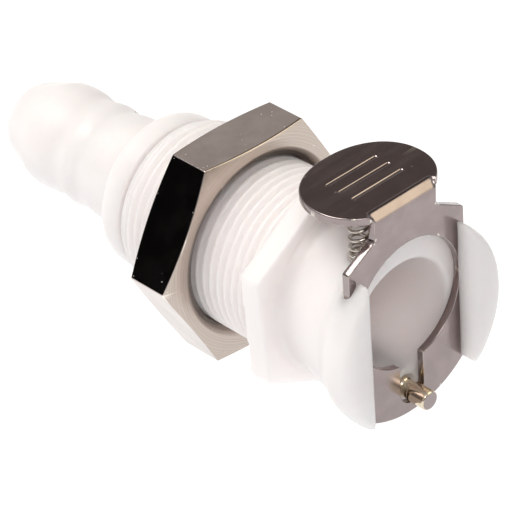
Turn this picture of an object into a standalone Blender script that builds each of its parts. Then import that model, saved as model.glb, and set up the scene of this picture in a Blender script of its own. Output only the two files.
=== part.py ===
"""Panel-mount quick-disconnect fitting with hose barb, hex nut and thumb latch.

Metres. The coupling axis is world Y: the mouth faces -Y and the hose barb faces +Y.
+Z is up, toward the thumb tab, and +X is to the right when looking into the mouth.
The origin is on the coupling axis, in the plane of the hex collar's rear face, which
is the face that lies against the panel.
"""
import bmesh
import bpy
import math
from mathutils import Matrix, Vector

MM = 0.001
for old in list(bpy.data.objects):
    bpy.data.objects.remove(old, do_unlink=True)

# ---------------------------------------------------------------- driving dimensions
GAP = 0.3 * MM            # space left between neighbouring pieces
SEG = 48                  # facets round a turned surface

THREAD_R = 9.525 * MM     # 3/4 in male thread, major radius
THREAD_PITCH = 1.058 * MM  # 24 turns to the inch
THREAD_DEPTH = 0.55 * MM
BODY_REAR = 21.3 * MM     # rear end of the threaded body

COLLAR_AF = 21.8 * MM     # hex collar, across flats
COLLAR_T = 2.7 * MM
COLLAR_TURN = -2.5        # degrees its top corner leans
NECK_R = 8.9 * MM
HEAD_R = 11.4 * MM
LIP_FRONT = -15.0 * MM    # front of the two cheeks
LIP_HALF = 6.82 * MM      # half of the gap between the cheeks

BORE_R = 6.5 * MM         # socket that takes the male insert
BORE_REAR = 5.0 * MM
SEAT_R = 4.0 * MM         # hole the valve stem passes through
SEAT_REAR = 7.0 * MM
CHAMBER_R = 6.2 * MM

PLATE_T = 0.9 * MM
PLATE_FRONT = -12.63 * MM
PLATE_HALF = 8.15 * MM
PLATE_HOLE_R = 7.3 * MM
LATCH_TRAVEL = 2.5 * MM   # how far the plate is pushed down to let go
SLOT_HALF = 1.65 * MM
NECK_HALF = 4.35 * MM
TAB_TOP = 15.15 * MM
TAB_HALF = 7.3 * MM
TAB_HALF_LEN = 6.0 * MM
TAB_MID = -7.6 * MM       # middle of the tab along Y
TAB_POWER = 2.15          # how square the tab's rounded outline is; 2 is an ellipse
BEND_R = 1.35 * MM        # outer radius of the bend between neck and tab
TIP_X = 6.2 * MM          # where the slanted cut across the cheeks' tips starts
TIP_Z = -7.0 * MM
BOSS_WALL = 0.9 * MM      # wall round the detent pin's hole, less the gap

PIN_R = 1.1 * MM
PIN_Z = -8.6 * MM
PIN_FRONT = -15.1 * MM
PIN_TRAVEL = 2.2 * MM

NUT_AF = 23.81 * MM       # 15/16 in across flats
NUT_T = 5.95 * MM
NUT_FRONT = 8.66 * MM
NUT_TURN = 1.2            # degrees the nut happens to be turned
NUT_CHAMFER = 15.0        # degrees

HUB_R = 8.9 * MM
HUB_REAR = 25.1 * MM
BARB_R = 6.08 * MM        # crests
BARB_ROOT_R = 5.62 * MM   # valleys between them
BARB_END = 45.6 * MM
PASSAGE_R = 3.2 * MM
SPIGOT_LEN = 3.8 * MM

VALVE_TRAVEL = 2.0 * MM

# ---------------------------------------------------------------- sizes tied together
PLATE_BACK = PLATE_FRONT + PLATE_T
GROOVE_FRONT = PLATE_FRONT - GAP
GROOVE_BACK = PLATE_BACK + GAP
GROOVE_HALF = PLATE_HALF + GAP
COLLAR_R = COLLAR_AF / math.sqrt(3.0)
PLATE_HOLE_Z = LATCH_TRAVEL            # level with the bore when pushed right down
TAB_UNDER = TAB_TOP - PLATE_T
RELIEF_Z = TAB_UNDER - LATCH_TRAVEL - GAP   # lets the tab pass over the collar's corner
SPIGOT_R = CHAMBER_R - GAP
HUB_FRONT = BODY_REAR + GAP
SPIGOT_FRONT = HUB_FRONT - SPIGOT_LEN
LATCH_SPRING_X = -3.6 * MM
LATCH_SPRING_Y = -9.75 * MM
LATCH_SPRING_R = 1.0 * MM              # mean coil radius
LATCH_WIRE_R = 0.2 * MM
POCKET_R = LATCH_SPRING_R + LATCH_WIRE_R + GAP
POCKET_FLOOR = 8.2 * MM
PIN_HOLE_R = PIN_R + GAP
PIN_REAR = PIN_FRONT + 7.5 * MM
PIN_HOLE_REAR = -3.0 * MM
POPPET_FRONT = 1.8 * MM
ORING_R = 4.75 * MM                    # mean radius of the valve ring
ORING_WIRE_R = 0.6 * MM
HEAD_FRONT = SEAT_REAR + GAP + 2.0 * ORING_WIRE_R + GAP
HEAD_BACK = HEAD_FRONT + 1.4 * MM


# ---------------------------------------------------------------- helpers
def material(name, colour, metallic, roughness):
    """One Principled material with a plain colour."""
    mat = bpy.data.materials.new(name)
    mat.use_nodes = True
    bsdf = mat.node_tree.nodes["Principled BSDF"]
    bsdf.inputs["Base Color"].default_value = (*colour, 1.0)
    bsdf.inputs["Metallic"].default_value = metallic
    bsdf.inputs["Roughness"].default_value = roughness
    mat.diffuse_color = (*colour, 1.0)
    return mat


def from_bmesh(name, bm, mat, origin=(0.0, 0.0, 0.0), smooth=True):
    """Turn a bmesh into a named object whose origin is at the given point."""
    bmesh.ops.remove_doubles(bm, verts=bm.verts, dist=1e-7)
    bmesh.ops.recalc_face_normals(bm, faces=bm.faces)
    bmesh.ops.translate(bm, verts=bm.verts, vec=-Vector(origin))
    mesh = bpy.data.meshes.new(name)
    bm.to_mesh(mesh)
    bm.free()
    obj = bpy.data.objects.new(name, mesh)
    obj.location = origin
    bpy.context.scene.collection.objects.link(obj)
    if mat is not None:
        mesh.materials.append(mat)
    for poly in mesh.polygons:
        poly.use_smooth = smooth
    return obj


def lathe(profile, segments=SEG, closed=False):
    """Turn (y, r) points about the Y axis; a closed profile makes a ring."""
    bm = bmesh.new()
    rings = []
    for y, r in profile:
        if r < 1e-9:
            rings.append([bm.verts.new((0.0, y, 0.0))])
            continue
        ring = []
        for i in range(segments):
            a = 2.0 * math.pi * (i + 0.5) / segments
            ring.append(bm.verts.new((r * math.sin(a), y, r * math.cos(a))))
        rings.append(ring)
    pairs = list(zip(rings, rings[1:]))
    if closed:
        pairs.append((rings[-1], rings[0]))
    for one, two in pairs:
        for i in range(segments):
            j = (i + 1) % segments
            if len(one) == 1 and len(two) == 1:
                continue
            if len(one) == 1:
                bm.faces.new((one[0], two[j], two[i]))
            elif len(two) == 1:
                bm.faces.new((one[i], one[j], two[0]))
            else:
                bm.faces.new((one[i], one[j], two[j], two[i]))
    return bm


def prism(points, axis, low, high):
    """Push a closed outline along an axis. Outline points are the other two axes."""
    bm = bmesh.new()
    rows = []
    for level in (low, high):
        row = []
        for p, q in points:
            if axis == "X":
                co = (level, p, q)
            elif axis == "Y":
                co = (p, level, q)
            else:
                co = (p, q, level)
            row.append(bm.verts.new(co))
        rows.append(row)
    count = len(points)
    bm.faces.new(rows[0])
    bm.faces.new(list(reversed(rows[1])))
    for i in range(count):
        j = (i + 1) % count
        bm.faces.new((rows[0][i], rows[0][j], rows[1][j], rows[1][i]))
    return bm


def box(low, high):
    """A plain block between two corners."""
    pts = [(low[0], low[1]), (high[0], low[1]), (high[0], high[1]), (low[0], high[1])]
    return prism(pts, "Z", low[2], high[2])


def round_bar(x, z, r, y_low, y_high, segments=24):
    """A cylinder along Y."""
    bm = lathe([(y_low, 0.0), (y_low, r), (y_high, r), (y_high, 0.0)], segments)
    bmesh.ops.translate(bm, verts=bm.verts, vec=(x, 0.0, z))
    return bm


def upright_bar(x, y, r, z_low, z_high, segments=24):
    """A cylinder along Z."""
    bm = lathe([(z_low, 0.0), (z_low, r), (z_high, r), (z_high, 0.0)], segments)
    bmesh.ops.rotate(bm, verts=bm.verts, matrix=Matrix.Rotation(math.pi / 2.0, 3, "X"))
    bmesh.ops.translate(bm, verts=bm.verts, vec=(x, y, 0.0))
    return bm


def combine(obj, bm, operation, name):
    """Join or cut the object with a tool body by an exact Boolean."""
    tool = from_bmesh(name, bm, None, smooth=False)
    tool.hide_render = True
    tool.display_type = "WIRE"
    mod = obj.modifiers.new(name, "BOOLEAN")
    mod.operation = operation
    mod.solver = "EXACT"
    mod.object = tool


def bake(obj, smooth_angle=35.0):
    """Fix the Booleans into the mesh and shade by the angle between faces."""
    deps = bpy.context.evaluated_depsgraph_get()
    done = bpy.data.meshes.new_from_object(obj.evaluated_get(deps))
    tools = [m.object for m in obj.modifiers]
    obj.modifiers.clear()
    old = obj.data
    done.name = obj.name
    mats = [m for m in old.materials]
    obj.data = done
    done.materials.clear()
    for m in mats:
        done.materials.append(m)
    for tool in tools:
        bpy.data.objects.remove(tool, do_unlink=True)
    bm = bmesh.new()
    bm.from_mesh(done)
    bmesh.ops.remove_doubles(bm, verts=bm.verts, dist=2e-6)
    bmesh.ops.dissolve_degenerate(bm, edges=bm.edges, dist=1e-6)
    for face in bm.faces:
        face.smooth = True
        face.material_index = 0
    for edge in bm.edges:
        edge.smooth = edge.calc_face_angle(0.0) < math.radians(smooth_angle)
    bm.to_mesh(done)
    bm.free()
    return obj


def mark_sharp(obj, smooth_angle=35.0):
    """Keep corners crisp while round surfaces stay smooth."""
    bm = bmesh.new()
    bm.from_mesh(obj.data)
    for edge in bm.edges:
        edge.smooth = edge.calc_face_angle(0.0) < math.radians(smooth_angle)
    bm.to_mesh(obj.data)
    bm.free()
    return obj


def coil(centre, axis, low, high, mean_r, wire_r, turns, steps=14, sides=6):
    """A closed wire coil between two levels; the end turns lie nearly flat."""
    bm = bmesh.new()
    low = low + wire_r
    high = high - wire_r
    count = int(turns * steps)
    rings = []
    for k in range(count + 1):
        u = k / count
        angle = 2.0 * math.pi * turns * u
        # slow start and finish, so the end turns are closed
        rise = u - math.sin(2.0 * math.pi * u) * 0.10
        level = low + (high - low) * rise
        out = Vector((math.cos(angle), math.sin(angle), 0.0))
        ring = []
        for s in range(sides):
            b = 2.0 * math.pi * s / sides
            p = out * (mean_r + wire_r * math.cos(b)) + Vector((0, 0, wire_r * math.sin(b)))
            p.z += level
            ring.append(p)
        rings.append(ring)
    verts = []
    for ring in rings:
        row = []
        for p in ring:
            if axis == "Y":
                co = (centre[0] + p.x, p.z, centre[2] - p.y)
            else:
                co = (centre[0] + p.x, centre[1] + p.y, p.z)
            row.append(bm.verts.new(co))
        verts.append(row)
    for one, two in zip(verts, verts[1:]):
        for s in range(sides):
            t = (s + 1) % sides
            bm.faces.new((one[s], one[t], two[t], two[s]))
    bm.faces.new(list(reversed(verts[0])))
    bm.faces.new(verts[-1])
    return bm


def torus(y, mean_r, wire_r, segments=40, sides=10):
    """An O-ring round the Y axis."""
    profile = []
    for s in range(sides):
        b = 2.0 * math.pi * s / sides
        profile.append((y + wire_r * math.sin(b), mean_r + wire_r * math.cos(b)))
    return lathe(profile, segments, closed=True)


def hexagon(af, turn_deg=0.0):
    """Corners of a hexagon in X and Z, one corner up when the turn is zero."""
    r = af / math.sqrt(3.0)
    pts = []
    for i in range(6):
        a = math.radians(60.0 * i + turn_deg)
        pts.append((r * math.sin(a), r * math.cos(a)))
    return pts


def hex_ring(af, inner_r, y_low, y_high, turn_deg, segments=72):
    """A flat-sided ring with a round hole; one corner is up when the turn is zero."""
    bm = bmesh.new()
    loops = []
    for y, hole in ((y_low, False), (y_high, False), (y_high, True), (y_low, True)):
        row = []
        for i in range(segments):
            a = 2.0 * math.pi * i / segments
            part_turn = (a + math.pi / 6.0) % (math.pi / 3.0) - math.pi / 6.0
            r = 0.5 * af / math.cos(math.pi / 6.0 - abs(part_turn))
            if hole:
                r = inner_r
            a += math.radians(turn_deg)
            row.append(bm.verts.new((r * math.sin(a), y, r * math.cos(a))))
        loops.append(row)
    for k in range(4):
        one = loops[k]
        two = loops[(k + 1) % 4]
        for i in range(segments):
            j = (i + 1) % segments
            bm.faces.new((one[i], one[j], two[j], two[i]))
    return bm


# ---------------------------------------------------------------- materials
acetal = material("acetal_natural", (0.86, 0.84, 0.81), 0.0, 0.35)
steel = material("stainless_sheet", (0.62, 0.60, 0.58), 1.0, 0.22)
pin_steel = material("pin_steel", (0.70, 0.69, 0.67), 1.0, 0.14)
wire_steel = material("spring_wire", (0.60, 0.59, 0.57), 1.0, 0.2)
nickel = material("nickel_plate", (0.66, 0.61, 0.54), 1.0, 0.16)
rubber = material("seal_rubber", (0.02, 0.02, 0.02), 0.0, 0.6)


# ---------------------------------------------------------------- coupling body
def thread_rows(y_start, y_stop):
    """Ridges of the outer thread, drawn as rings."""
    rows = []
    turns = int((y_stop - y_start) / THREAD_PITCH)
    for k in range(turns):
        y = y_start + THREAD_PITCH * k
        rows.append((y, THREAD_R - THREAD_DEPTH))
        rows.append((y + 0.5 * THREAD_PITCH, THREAD_R))
    rows.append((y_start + THREAD_PITCH * turns, THREAD_R - THREAD_DEPTH))
    return rows


outer = [
    (LIP_FRONT, HEAD_R - 1.3 * MM),
    (LIP_FRONT + 0.2 * MM, HEAD_R - 0.65 * MM),
    (LIP_FRONT + 0.65 * MM, HEAD_R - 0.2 * MM),
    (LIP_FRONT + 1.6 * MM, HEAD_R),
    (LIP_FRONT + 2.7 * MM, HEAD_R - 0.05 * MM),
    (LIP_FRONT + 3.5 * MM, HEAD_R - 0.25 * MM),
    (LIP_FRONT + 4.2 * MM, HEAD_R - 0.7 * MM),
    (LIP_FRONT + 4.8 * MM, 10.3 * MM),
    (-8.2 * MM, 9.8 * MM),
    (-5.9 * MM, 9.2 * MM),
    (-4.4 * MM, NECK_R),
    (-3.6 * MM, NECK_R + 0.05 * MM),
    (-3.0 * MM, 9.5 * MM),
    (-1.35 * MM, 9.9 * MM),
    (-0.6 * MM, THREAD_R + 0.02 * MM),
    (0.15 * MM, THREAD_R + 0.02 * MM),
    (0.3 * MM, THREAD_R - THREAD_DEPTH),
]
outer = outer + thread_rows(0.45 * MM, BODY_REAR - 0.7 * MM)
outer = outer + [(BODY_REAR, THREAD_R - THREAD_DEPTH - 0.35 * MM)]
inner = [
    (BODY_REAR, CHAMBER_R),
    (SEAT_REAR, CHAMBER_R),
    (SEAT_REAR, SEAT_R),
    (BORE_REAR, SEAT_R),
    (BORE_REAR, BORE_R),
    (GROOVE_BACK + 0.5 * MM, BORE_R),
    (GROOVE_BACK, BORE_R + 0.3 * MM),
    (LIP_FRONT, BORE_R + 0.3 * MM),
]
body = from_bmesh("coupling_body", lathe(outer + inner, closed=True), acetal)

collar = hex_ring(COLLAR_AF, 8.0 * MM, -COLLAR_T, 0.0, COLLAR_TURN)
combine(body, collar, "UNION", "tool_collar")
relief = box((-4.0 * MM, -COLLAR_T - MM, RELIEF_Z), (4.0 * MM, -1.0 * MM, 14.0 * MM))
combine(body, relief, "DIFFERENCE", "tool_relief")
boss = round_bar(0.0, PIN_Z, PIN_R + BOSS_WALL, -10.9 * MM, -1.2 * MM)
combine(body, boss, "UNION", "tool_boss")

# space between the cheeks; the mouth widens in a rounded edge
edge_pts = []
for k in range(6):
    t = 0.5 * math.pi * k / 5.0
    edge_pts.append((LIP_HALF + 1.8 * MM * (1.0 - math.cos(t)),
                     PLATE_FRONT - 0.95 * MM - 1.45 * MM * math.sin(t)))
mouth = [(LIP_HALF, GROOVE_FRONT + 0.5 * MM)] + edge_pts
mouth = mouth + [(edge_pts[-1][0], LIP_FRONT - MM)]
mouth = mouth + [(-x, y) for x, y in reversed(mouth)]
combine(body, prism(mouth, "Z", -14.0 * MM, 14.0 * MM), "DIFFERENCE", "tool_mouth")
combine(body, box((-GROOVE_HALF, GROOVE_FRONT, -14.0 * MM), (GROOVE_HALF, GROOVE_BACK, 14.0 * MM)),
        "DIFFERENCE", "tool_groove")
combine(body, upright_bar(LATCH_SPRING_X, LATCH_SPRING_Y, POCKET_R, POCKET_FLOOR, 14.0 * MM, 20),
        "DIFFERENCE", "tool_pocket")
combine(body, round_bar(0.0, PIN_Z, PIN_HOLE_R, GROOVE_FRONT, PIN_HOLE_REAR, 20),
        "DIFFERENCE", "tool_pin_hole")
# the cheeks' lower tips are cut off at a slant
for side in (-1.0, 1.0):
    tip = [(side * TIP_X, TIP_Z), (side * (TIP_X + HEAD_R), TIP_Z - HEAD_R),
           (side * TIP_X, TIP_Z - HEAD_R)]
    combine(body, prism(tip, "Y", LIP_FRONT - MM, GROOVE_FRONT), "DIFFERENCE", "tool_tip")
bake(body)

# ---------------------------------------------------------------- hose barb adapter
barb = [
    (SPIGOT_FRONT, PASSAGE_R),
    (SPIGOT_FRONT, SPIGOT_R - 0.3 * MM),
    (SPIGOT_FRONT + 0.3 * MM, SPIGOT_R),
    (SPIGOT_FRONT + 0.9 * MM, SPIGOT_R),
    (SPIGOT_FRONT + 0.9 * MM, SPIGOT_R - 1.3 * MM),
    (SPIGOT_FRONT + 2.5 * MM, SPIGOT_R - 1.3 * MM),
    (SPIGOT_FRONT + 2.5 * MM, SPIGOT_R),
    (HUB_FRONT, SPIGOT_R),
    (HUB_FRONT, HUB_R - 0.3 * MM),
    (HUB_FRONT + 0.3 * MM, HUB_R),
    (HUB_REAR - 1.2 * MM, HUB_R - 0.1 * MM),
    (HUB_REAR - 0.5 * MM, HUB_R - 0.35 * MM),
    (HUB_REAR, HUB_R - 0.9 * MM),
    (HUB_REAR + 0.6 * MM, HUB_R - 2.0 * MM),
    (HUB_REAR + 1.3 * MM, BARB_R + 0.12 * MM),
    # stem, a narrow crest, a broad one, and a nose that narrows like a bullet
    (BARB_END - 15.4 * MM, BARB_R),
    (BARB_END - 14.1 * MM, BARB_ROOT_R + 0.13 * MM),
    (BARB_END - 13.0 * MM, BARB_ROOT_R),
    (BARB_END - 12.3 * MM, BARB_ROOT_R + 0.23 * MM),
    (BARB_END - 11.8 * MM, BARB_R),
    (BARB_END - 11.0 * MM, BARB_ROOT_R + 0.23 * MM),
    (BARB_END - 9.3 * MM, BARB_ROOT_R),
    (BARB_END - 8.2 * MM, BARB_ROOT_R + 0.23 * MM),
    (BARB_END - 7.4 * MM, BARB_R - 0.03 * MM),
    (BARB_END - 5.3 * MM, BARB_R),
    (BARB_END - 4.3 * MM, BARB_ROOT_R + 0.13 * MM),
    (BARB_END - 3.0 * MM, BARB_ROOT_R - 0.32 * MM),
    (BARB_END - 1.8 * MM, BARB_ROOT_R - 0.72 * MM),
    (BARB_END - 0.6 * MM, BARB_ROOT_R - 1.22 * MM),
    (BARB_END, BARB_ROOT_R - 1.57 * MM),
    (BARB_END, PASSAGE_R + 0.1 * MM),
    (BARB_END - 0.3 * MM, PASSAGE_R),
]
adapter = mark_sharp(from_bmesh("hose_barb_adapter", lathe(barb, closed=True), acetal))

ring_y = SPIGOT_FRONT + 1.7 * MM
adapter_oring = from_bmesh("adapter_oring", torus(ring_y, SPIGOT_R - 0.5 * MM, 0.5 * MM), rubber)

# ---------------------------------------------------------------- shut-off valve
poppet_pts = [
    (POPPET_FRONT, 0.0),
    (POPPET_FRONT, 2.6 * MM),
    (POPPET_FRONT + 0.4 * MM, 3.0 * MM),
    (SEAT_REAR - 2.6 * MM, 3.0 * MM),
    (SEAT_REAR, SEAT_R - 0.35 * MM),
    (HEAD_FRONT, SEAT_R - 0.35 * MM),
    (HEAD_FRONT, 5.3 * MM),
    (HEAD_BACK, 5.3 * MM),
    (HEAD_BACK, 2.9 * MM),
    (SPIGOT_FRONT + 0.6 * MM, 2.9 * MM),
    (SPIGOT_FRONT + 1.0 * MM, 2.4 * MM),
    (SPIGOT_FRONT + 1.0 * MM, 0.0),
]
poppet = from_bmesh("valve_poppet", lathe(poppet_pts, 32), acetal, (0.0, POPPET_FRONT, 0.0))
for turn in (0.0, 90.0):
    # crossed flutes along the tail let the fluid past inside the adapter
    for side in (-1.0, 1.0):
        flute = box((0.6 * MM, HEAD_BACK + 0.8 * MM, 0.6 * MM), (4.0 * MM, 24.0 * MM, 4.0 * MM))
        spin = Matrix.Rotation(math.radians(turn + (0.0 if side > 0 else 180.0)), 3, "Y")
        bmesh.ops.rotate(flute, verts=flute.verts, matrix=spin)
        combine(poppet, flute, "DIFFERENCE", "tool_flute")
bake(poppet)

poppet_oring = from_bmesh("poppet_oring",
                          torus(SEAT_REAR + GAP + ORING_WIRE_R, ORING_R, ORING_WIRE_R, 36, 8),
                          rubber, (0.0, SEAT_REAR + GAP + ORING_WIRE_R, 0.0))
valve_spring = from_bmesh("valve_spring",
                          coil((0, 0, 0), "Y", HEAD_BACK + GAP, SPIGOT_FRONT - GAP,
                               4.3 * MM, 0.3 * MM, 4.0, 20, 6),
                          wire_steel)

# ---------------------------------------------------------------- latch plate
def half_outline():
    """Right half of the flat plate, from the bottom middle up to the neck."""
    pts = []
    low_z = -11.0 * MM
    sweep_r = 11.5 * MM
    for k in range(7):
        x = PLATE_HALF * 0.94 * k / 6.0
        pts.append((x, low_z + sweep_r - math.sqrt(sweep_r * sweep_r - x * x)))
    pts.append((PLATE_HALF, -7.7 * MM))
    pts.append((PLATE_HALF, 10.0 * MM))
    pts.append((PLATE_HALF - 0.12 * MM, 10.15 * MM))
    pts.append((NECK_HALF + 0.42 * MM, 11.95 * MM))
    pts.append((NECK_HALF, 12.35 * MM))
    return pts


right = half_outline()
left = [(-x, z) for x, z in reversed(right[1:])]
neck_top = TAB_TOP - BEND_R
flat = right + [(NECK_HALF, neck_top), (-NECK_HALF, neck_top)] + left
plate = from_bmesh("latch_plate", prism(flat, "Y", PLATE_FRONT, PLATE_BACK), steel)

# the bend: an outer and an inner arc between the upright neck and the level tab
bend = []
inner_r = BEND_R - PLATE_T
cy = PLATE_FRONT + BEND_R
cz = TAB_TOP - BEND_R
for k in range(7):
    a = 0.5 * math.pi * k / 6.0
    bend.append((cy - BEND_R * math.cos(a), cz + BEND_R * math.sin(a)))
for k in range(7):
    a = 0.5 * math.pi * (6 - k) / 6.0
    bend.append((cy - inner_r * math.cos(a), cz + inner_r * math.sin(a)))
bend = [(PLATE_FRONT, neck_top - 0.4 * MM)] + bend + [(PLATE_BACK, neck_top - 0.4 * MM)]
combine(plate, prism(bend, "X", -NECK_HALF, NECK_HALF), "UNION", "tool_bend")

# the tab's rounded outline runs on beside the neck as two small ears
NOTCH_HALF = NECK_HALF + GAP
tab_pts = []
notch_angle = math.acos((NOTCH_HALF / TAB_HALF) ** (0.5 * TAB_POWER))
for k in range(49):
    a = (math.pi + 2.0 * notch_angle) * k / 48.0 - notch_angle
    c = math.cos(a)
    s = math.sin(a)
    x = TAB_HALF * math.copysign(abs(c) ** (2.0 / TAB_POWER), c)
    y = TAB_MID + TAB_HALF_LEN * math.copysign(abs(s) ** (2.0 / TAB_POWER), s)
    tab_pts.append((x, y))
tab_pts = tab_pts + [(-NOTCH_HALF, cy), (NOTCH_HALF, cy)]
combine(plate, prism(tab_pts, "Z", TAB_UNDER, TAB_TOP), "UNION", "tool_tab")
web = box((-NECK_HALF, cy - 0.05 * MM, TAB_UNDER), (NECK_HALF, cy + 1.0 * MM, TAB_TOP))
combine(plate, web, "UNION", "tool_web")

hole = round_bar(0.0, PLATE_HOLE_Z, PLATE_HOLE_R, PLATE_FRONT - MM, PLATE_BACK + MM, 56)
combine(plate, hole, "DIFFERENCE", "tool_plate_hole")
slot_end = PIN_Z + 0.4 * MM
slot = [(SLOT_HALF, 0.0), (-SLOT_HALF, 0.0)]
for k in range(9):
    a = math.pi * k / 8.0
    slot.append((-SLOT_HALF * math.cos(a), slot_end - SLOT_HALF * math.sin(a)))
combine(plate, prism(slot, "Y", PLATE_FRONT - MM, PLATE_BACK + MM), "DIFFERENCE", "tool_slot")
bake(plate, 30.0)

latch_spring = from_bmesh("latch_spring",
                          coil((LATCH_SPRING_X, LATCH_SPRING_Y, 0), "Z", POCKET_FLOOR + GAP,
                               TAB_UNDER - GAP, LATCH_SPRING_R, LATCH_WIRE_R, 5.5, 14, 6),
                          wire_steel)

# ---------------------------------------------------------------- detent pin
pin_pts = [
    (PIN_FRONT, 0.0),
    (PIN_FRONT, PIN_R - 0.2 * MM),
    (PIN_FRONT + 0.2 * MM, PIN_R),
    (PLATE_FRONT - 0.1 * MM, PIN_R),
    (PLATE_FRONT + 0.02 * MM, PIN_R - 0.12 * MM),
    (PLATE_BACK - 0.02 * MM, PIN_R - 0.12 * MM),
    (PLATE_BACK + 0.1 * MM, PIN_R),
    (PIN_REAR - 0.2 * MM, PIN_R),
    (PIN_REAR, PIN_R - 0.2 * MM),
    (PIN_REAR, 0.0),
]
pin_bm = lathe(pin_pts, 28)
bmesh.ops.translate(pin_bm, verts=pin_bm.verts, vec=(0.0, 0.0, PIN_Z))
detent_pin = mark_sharp(from_bmesh("detent_pin", pin_bm, pin_steel, (0.0, PIN_FRONT, PIN_Z)))
detent_spring = from_bmesh("detent_spring",
                           coil((0, 0, PIN_Z), "Y", PIN_REAR + GAP, PIN_HOLE_REAR - GAP,
                                0.78 * MM, 0.17 * MM, 5.0, 12, 5),
                           wire_steel)

# ---------------------------------------------------------------- panel nut
NUT_CORNER = NUT_AF / math.sqrt(3.0)
NUT_BORE_R = THREAD_R + GAP
NUT_REAR = NUT_FRONT + NUT_T
nut_bm = prism(hexagon(NUT_AF, 30.0 + NUT_TURN), "Y", NUT_FRONT - MM, NUT_REAR + MM)
nut = from_bmesh("panel_nut", nut_bm, nickel, (0.0, NUT_FRONT, 0.0))
# both faces carry a shallow turned chamfer that takes the corners down
face_r = NUT_AF * 0.5 - 0.2 * MM
far_r = NUT_CORNER + 1.0 * MM
fall = (far_r - face_r) * math.tan(math.radians(NUT_CHAMFER))
keep = lathe([(NUT_FRONT, 0.0), (NUT_FRONT, face_r), (NUT_FRONT + fall, far_r),
              (NUT_REAR - fall, far_r), (NUT_REAR, face_r), (NUT_REAR, 0.0)], 72)
combine(nut, keep, "INTERSECT", "tool_nut_chamfer")
lead = 0.6 * MM
thread_hole = lathe([(NUT_FRONT - MM, 0.0), (NUT_FRONT - MM, NUT_BORE_R + MM + lead),
                     (NUT_FRONT + lead, NUT_BORE_R), (NUT_REAR - lead, NUT_BORE_R),
                     (NUT_REAR + MM, NUT_BORE_R + MM + lead), (NUT_REAR + MM, 0.0)])
combine(nut, thread_hole, "DIFFERENCE", "tool_nut_bore")
bake(nut, 12.0)
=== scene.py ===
# %% [markdown]
# A panel-mount hose fitting, as a lesson in cells.
#
# The fitting is a white acetal body with a fine thread, clamped in a panel by a plated
# hex nut. A bent stainless plate, pushed up by a small coil spring, latches a hose insert
# into its socket. The CAD model is loaded first and is never moved. Each piece is then
# rebuilt with more detail in the same place. The numbers here are millimetres, and become
# metres as they go into a mesh. Y runs from the mouth to the barb, and Z goes up.

import bmesh
import bpy
import numpy as np
from mathutils import Matrix, Vector


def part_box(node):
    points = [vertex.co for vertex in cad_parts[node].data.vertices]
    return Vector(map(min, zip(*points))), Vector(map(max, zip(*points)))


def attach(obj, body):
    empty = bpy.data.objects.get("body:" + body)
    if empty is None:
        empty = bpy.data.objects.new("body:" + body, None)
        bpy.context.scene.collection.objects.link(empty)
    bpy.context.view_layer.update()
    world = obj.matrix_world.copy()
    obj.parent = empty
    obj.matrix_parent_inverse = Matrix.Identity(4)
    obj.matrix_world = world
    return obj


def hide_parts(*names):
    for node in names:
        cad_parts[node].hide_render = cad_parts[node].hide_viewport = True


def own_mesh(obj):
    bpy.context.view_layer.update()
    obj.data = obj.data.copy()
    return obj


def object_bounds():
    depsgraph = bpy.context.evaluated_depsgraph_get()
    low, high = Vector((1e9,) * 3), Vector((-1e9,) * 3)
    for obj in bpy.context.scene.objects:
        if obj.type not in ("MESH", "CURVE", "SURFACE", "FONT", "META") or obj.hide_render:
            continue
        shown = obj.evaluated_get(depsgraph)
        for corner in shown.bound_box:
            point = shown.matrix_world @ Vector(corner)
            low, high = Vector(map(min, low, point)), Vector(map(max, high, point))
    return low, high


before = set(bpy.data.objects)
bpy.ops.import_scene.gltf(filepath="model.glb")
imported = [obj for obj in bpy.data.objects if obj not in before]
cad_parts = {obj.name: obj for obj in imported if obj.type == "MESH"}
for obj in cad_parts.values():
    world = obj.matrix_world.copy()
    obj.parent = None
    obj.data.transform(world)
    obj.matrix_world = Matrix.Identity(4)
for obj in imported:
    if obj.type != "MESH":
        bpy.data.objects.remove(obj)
cad_low, cad_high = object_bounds()
MM = 0.001
TURN = 2.0 * np.pi
print("CAD box in mm:", [round(v / MM, 2) for v in (*cad_low, *cad_high)])

# %% [markdown]
# Sizes come from the CAD nodes' own boxes wherever a box can say them, so that the looks
# always follow the frame. The rest are the small things that a box can't tell.


# %% Read the sizes off the CAD nodes
def box_mm(node):
    """Lowest and highest corner of a CAD node, in millimetres."""
    low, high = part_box(node)
    return np.array(low) / MM, np.array(high) / MM


body_low, body_high = box_mm("coupling_body")
plate_low, plate_high = box_mm("latch_plate")
nut_low, nut_high = box_mm("panel_nut")
hub_low, hub_high = box_mm("hose_barb_adapter")
pin_low, pin_high = box_mm("detent_pin")
print("body runs from", body_low[1].round(2), "to", body_high[1].round(2), "mm along Y")
print("nut is", (nut_high - nut_low).round(2), "mm")

# %% [markdown]
# Every new piece is a grid of points. One helper turns a grid into faces, and closes it
# round the column direction, the row direction, or with a fan at each end. Nothing loops
# over vertices: the face table is made from index arrays.


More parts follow.
